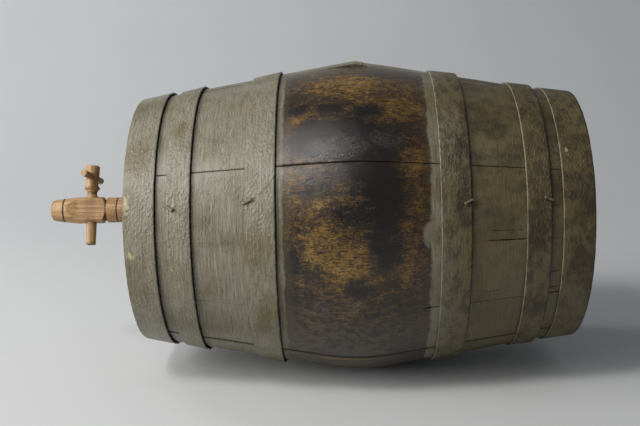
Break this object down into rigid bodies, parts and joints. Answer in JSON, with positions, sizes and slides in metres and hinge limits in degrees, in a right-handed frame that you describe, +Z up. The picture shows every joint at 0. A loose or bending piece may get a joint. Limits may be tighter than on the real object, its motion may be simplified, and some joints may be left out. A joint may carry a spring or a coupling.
{
  "type": "wine cask",
  "caption": "Small oak wine cask lying on its bilge, with painted staves, iron hoops, a bung, and a wooden tap with a turning key in one head.",
  "frame": {"origin": "middle of the flat worn under the bilge, where the cask rests on the floor, midway between the rims", "axes": "+Z up; X along the cask axis, with the tap at the -X end and the plain head at +X"},
  "size_m": [0.617, 0.3621, 0.3647],
  "materials": {
    "painted_oak": "worn sage-green paint over oak, bare and darkened at the middle",
    "painted_head": "worn sage-green paint over oak",
    "dowel_oak": "bare oak",
    "painted_hoop": "pitted sage-green paint over iron, rust at the edges",
    "painted_rivet": "painted iron, rusty",
    "old_nail": "dark rusty iron with paint over it",
    "tap_beech": "bare turned beech with two burnt rings",
    "key_beech": "bare turned beech",
    "pin_beech": "bare turned beech",
    "bung_oak": "stained oak"
  },
  "bodies": {
    "cask": {"stave_01": "painted_oak", "stave_02": "painted_oak", "stave_03": "painted_oak", "stave_04": "painted_oak", "stave_05": "painted_oak", "stave_06": "painted_oak", "stave_07": "painted_oak", "stave_08": "painted_oak", "stave_09": "painted_oak", "stave_10": "painted_oak", "stave_11": "painted_oak", "stave_12": "painted_oak", "stave_13": "painted_oak", "bung_stave": "painted_oak", "tap_end_head_board_1": "painted_head", "tap_end_head_board_2": "painted_head", "tap_end_head_board_3": "painted_head", "tap_end_head_board_4": "painted_head", "tap_end_head_board_5": "painted_head", "plain_end_head_board_1": "painted_head", "plain_end_head_board_2": "painted_head", "plain_end_head_board_3": "painted_head", "plain_end_head_board_4": "painted_head", "plain_end_head_board_5": "painted_head", "tap_end_head_dowels": "dowel_oak", "plain_end_head_dowels": "dowel_oak", "tap_end_chime_hoop": "painted_hoop", "tap_end_quarter_hoop": "painted_hoop", "tap_end_bilge_hoop": "painted_hoop", "plain_end_chime_hoop": "painted_hoop", "plain_end_quarter_hoop": "painted_hoop", "plain_end_bilge_hoop": "painted_hoop", "tap_end_chime_rivets": "painted_rivet", "tap_end_quarter_rivets": "painted_rivet", "tap_end_bilge_rivets": "painted_rivet", "plain_end_chime_rivets": "painted_rivet", "plain_end_quarter_rivets": "painted_rivet", "plain_end_bilge_rivets": "painted_rivet", "tap_end_quarter_nails": "old_nail", "tap_end_bilge_nails": "old_nail", "plain_end_quarter_nails": "old_nail", "plain_end_bilge_nails": "old_nail"},
    "tap": {"tap_body": "tap_beech"},
    "key": {"tap_key": "key_beech", "key_pin": "pin_beech"},
    "bung": {"bung": "bung_oak"}
  },
  "joints": [
    {"name": "tap_draw", "type": "slide", "parent": "cask", "child": "tap", "axis": [-1, 0, 0], "range_m": [0, 0.08]},
    {"name": "key_turn", "type": "hinge", "parent": "tap", "child": "key", "pos_m": [-0.32, 0, 0.19162], "axis": [0, 0.3502, 0.9367], "continuous": true},
    {"name": "bung_pull", "type": "slide", "parent": "cask", "child": "bung", "axis": [0, 0.1002, 0.995], "range_m": [0, 0.05]}
  ]
}
